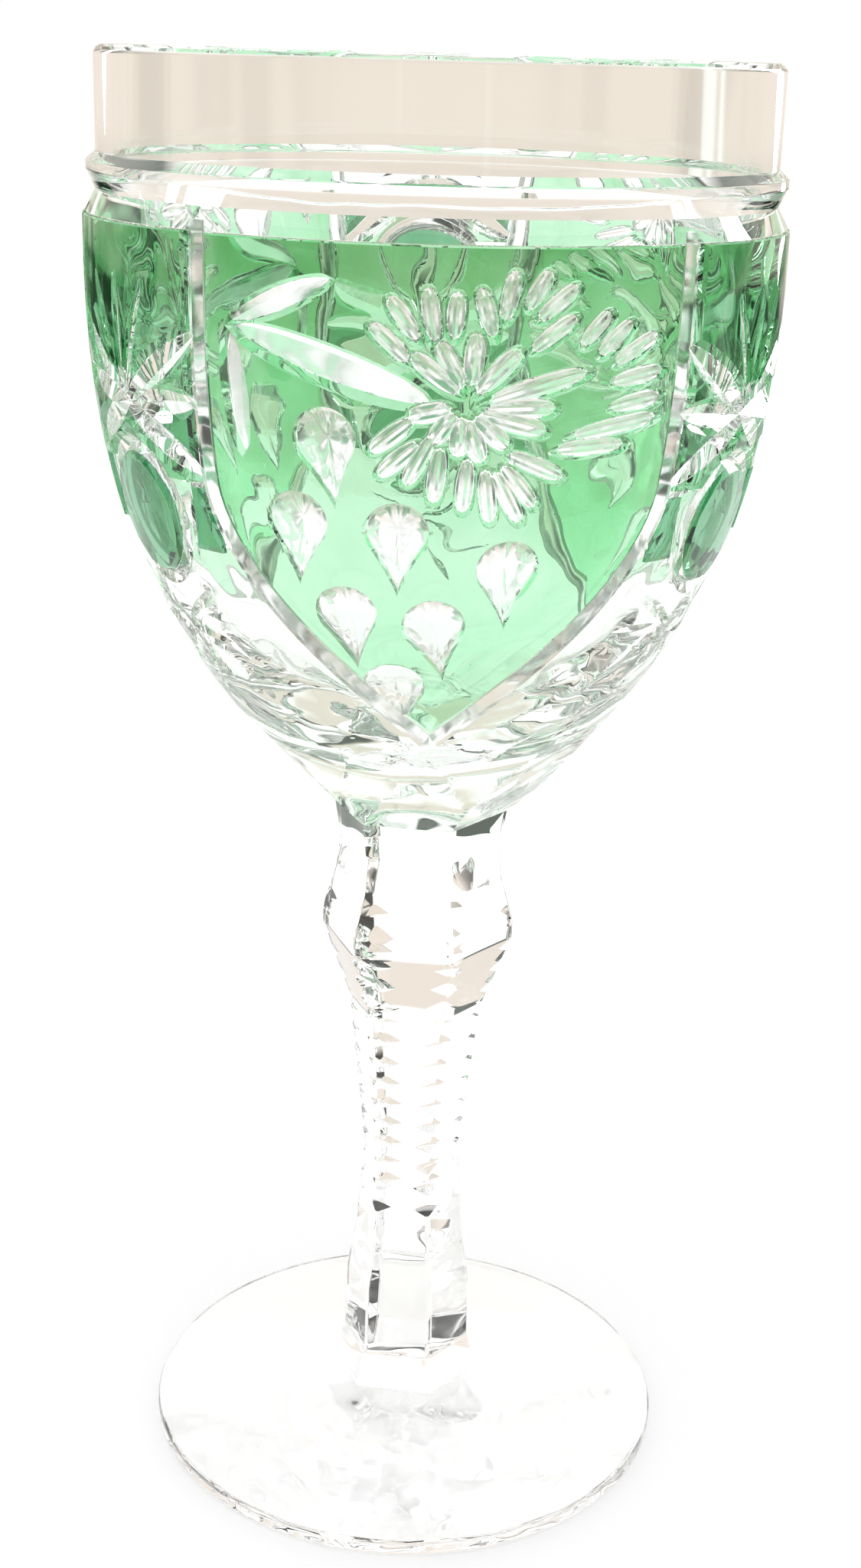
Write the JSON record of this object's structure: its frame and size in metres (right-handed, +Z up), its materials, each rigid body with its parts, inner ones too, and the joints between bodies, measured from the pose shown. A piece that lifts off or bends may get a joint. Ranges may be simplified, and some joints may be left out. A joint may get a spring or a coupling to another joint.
{
  "type": "stemmed glass",
  "caption": "Stemmed drinking glass: a bowl cased in green and cut to clear with leaves, flowers, grapes and stars, a faceted stem with a knop and notched edges, and a round foot.",
  "frame": {"origin": "middle of the foot's flat underside", "axes": "+Z up along the stem; -Y is the front, which the front shield panel faces; +X to the right as seen from the front"},
  "size_m": [0.0798, 0.0798, 0.175],
  "materials": {
    "clear_glass": "polished",
    "green_glass": "polished"
  },
  "bodies": {
    "root": {"bowl": "clear_glass", "stem": "clear_glass", "foot": "clear_glass", "arch_left": "green_glass", "arch_rear": "green_glass", "arch_right": "green_glass", "blade_left_a": "green_glass", "blade_left_b": "green_glass", "blade_rear_a": "green_glass", "blade_rear_b": "green_glass", "blade_right_a": "green_glass", "blade_right_b": "green_glass", "crown_left": "green_glass", "crown_rear": "green_glass", "crown_right": "green_glass", "lens_left": "green_glass", "lens_rear": "green_glass", "lens_right": "green_glass", "lower_triangle_left_a": "green_glass", "lower_triangle_left_b": "green_glass", "lower_triangle_rear_a": "green_glass", "lower_triangle_rear_b": "green_glass", "lower_triangle_right_a": "green_glass", "lower_triangle_right_b": "green_glass", "panel_front": "green_glass", "panel_left_rear": "green_glass", "panel_right_rear": "green_glass", "upper_triangle_left_a": "green_glass", "upper_triangle_left_b": "green_glass", "upper_triangle_rear_a": "green_glass", "upper_triangle_rear_b": "green_glass", "upper_triangle_right_a": "green_glass", "upper_triangle_right_b": "green_glass"}
  },
  "joints": []
}
